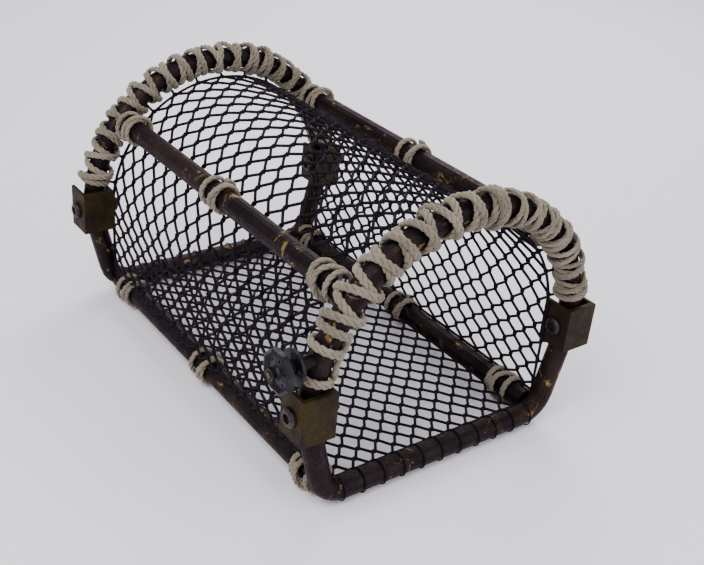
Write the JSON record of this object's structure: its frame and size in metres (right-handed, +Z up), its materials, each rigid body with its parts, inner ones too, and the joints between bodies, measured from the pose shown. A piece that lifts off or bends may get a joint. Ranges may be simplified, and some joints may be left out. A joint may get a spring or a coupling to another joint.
{
  "type": "folding crab trap",
  "caption": "Folding tunnel-shaped crab trap: pipe hoops hinged in blocks, pipe rails lashed with rope, a knotted net shell open at both ends, and a haul-line spool.",
  "frame": {"origin": "on the floor, midway between the two hoops and midway between the left and right hinges", "axes": "+X from the rear hoop to the front hoop, +Y from the left side to the right side as seen from in front, +Z up"},
  "size_m": [0.5861, 0.4663, 0.3489],
  "materials": {
    "pipe": "rusted dark brown with rubbed bronze edges",
    "block": "matt olive brown",
    "bolt": "dark blue-grey, satin",
    "rope": "three-strand natural rope",
    "net": "tarred knotted twine"
  },
  "bodies": {
    "base": {"base_hoop_front": "pipe", "base_hoop_rear": "pipe", "hinge_block_front_left": "block", "hinge_bolt_front_left": "bolt", "hinge_nut_front_left": "bolt", "hinge_block_front_right": "block", "hinge_bolt_front_right": "bolt", "hinge_nut_front_right": "bolt", "hinge_block_rear_left": "block", "hinge_bolt_rear_left": "bolt", "hinge_nut_rear_left": "bolt", "hinge_block_rear_right": "block", "hinge_bolt_rear_right": "bolt", "hinge_nut_rear_right": "bolt", "bottom_rail_left": "pipe", "bottom_rail_right": "pipe", "lashing_bottom_left_rear": "rope", "lashing_bottom_left_middle": "rope", "lashing_bottom_left_front": "rope", "lashing_bottom_right_rear": "rope", "lashing_bottom_right_middle": "rope", "lashing_bottom_right_front": "rope", "net_floor": "net", "net_wall_low_left": "net", "net_wall_low_right": "net"},
    "arch_rear": {"arch_rear": "pipe", "arch_rope_rear_left": "rope", "arch_rope_rear_top": "rope", "arch_rope_rear_right": "rope"},
    "arch_front": {"arch_front": "pipe", "arch_rope_front_left": "rope", "arch_rope_front_top": "rope", "arch_rope_front_right": "rope", "spool_nut": "bolt"},
    "shoulder_rails": {"shoulder_rail_left": "pipe", "shoulder_rail_right": "pipe", "lashing_shoulder_left_rear": "rope", "lashing_shoulder_left_middle": "rope", "lashing_shoulder_left_front": "rope", "lashing_shoulder_right_rear": "rope", "lashing_shoulder_right_middle": "rope", "lashing_shoulder_right_front": "rope"},
    "net_middle": {"net_wall_middle_left": "net", "net_wall_middle_right": "net"},
    "net_high": {"net_wall_high_left": "net", "net_wall_high_right": "net"},
    "net_roof": {"net_roof": "net"},
    "spool": {"haul_spool": "bolt"}
  },
  "joints": [
    {"name": "fold", "type": "hinge", "parent": "base", "child": "arch_rear", "pos_m": [-0.27, 0, 0.1365], "axis": [0, -1, 0], "range_deg": [0, 70]},
    {"name": "front_fold", "type": "hinge", "parent": "base", "child": "arch_front", "pos_m": [0.27, 0, 0.1365], "axis": [0, -1, 0], "range_deg": [0, 70]},
    {"name": "rail_level", "type": "hinge", "parent": "arch_rear", "child": "shoulder_rails", "pos_m": [-0.27, 0, 0.25863], "axis": [0, -1, 0], "range_deg": [-70, 0], "deforming": ["lashing_shoulder_left_rear", "lashing_shoulder_left_front", "lashing_shoulder_right_rear", "lashing_shoulder_right_front"]},
    {"name": "net_middle_slide", "type": "slide", "parent": "base", "child": "net_middle", "axis": [-0.8192, 0, -0.5736], "range_m": [0, 0.0688], "deforming": ["net_wall_middle_left", "net_wall_middle_right"]},
    {"name": "net_high_slide", "type": "slide", "parent": "net_middle", "child": "net_high", "axis": [-0.8192, 0, -0.5736], "range_m": [0, 0.0669], "deforming": ["net_wall_high_left", "net_wall_high_right"]},
    {"name": "net_roof_slide", "type": "slide", "parent": "net_high", "child": "net_roof", "axis": [-0.8192, 0, -0.5736], "range_m": [0, 0.0562], "deforming": ["net_roof"]},
    {"name": "spool_turn", "type": "hinge", "parent": "arch_front", "child": "spool", "pos_m": [0.27, -0.2095, 0.1985], "axis": [0, 1, 0], "continuous": true}
  ],
  "couplings": [
    {"joint": "front_fold", "follows": "fold", "ratio": 1},
    {"joint": "rail_level", "follows": "fold", "ratio": -1},
    {"joint": "net_middle_slide", "follows": "fold", "m_per_rad": 0.056194},
    {"joint": "net_high_slide", "follows": "fold", "m_per_rad": 0.054684},
    {"joint": "net_roof_slide", "follows": "fold", "m_per_rad": 0.045927}
  ]
}
